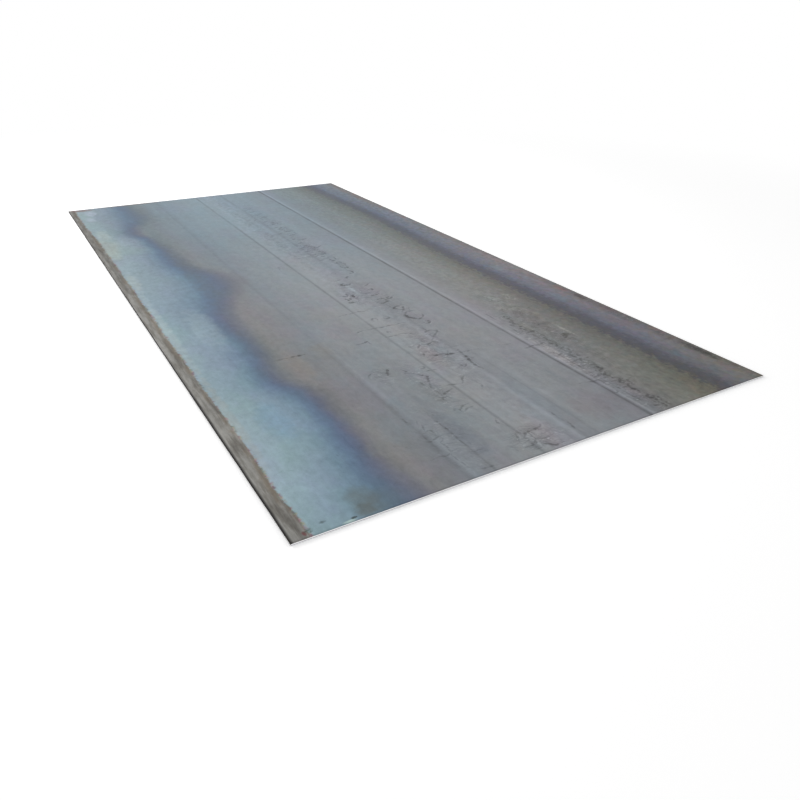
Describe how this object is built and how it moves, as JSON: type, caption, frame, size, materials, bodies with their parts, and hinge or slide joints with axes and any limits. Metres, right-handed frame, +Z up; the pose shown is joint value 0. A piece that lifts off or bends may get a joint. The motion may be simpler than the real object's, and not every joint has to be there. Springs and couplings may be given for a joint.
{
  "type": "steel plate",
  "caption": "Flat rectangular hot-rolled steel plate with rounded mill edges along its length and sheared ends.",
  "frame": {"origin": "centre of the underside, on the floor", "axes": "+Y along the length, which is the rolling direction; +X across the width; +Z up out of the top face"},
  "size_m": [1.5, 3, 0.006],
  "materials": {
    "mill_steel": "hot-rolled mill scale, satin, blue-grey with temper-coloured bands; bright sheared ends"
  },
  "bodies": {
    "root": {"plate": "mill_steel"}
  },
  "joints": []
}
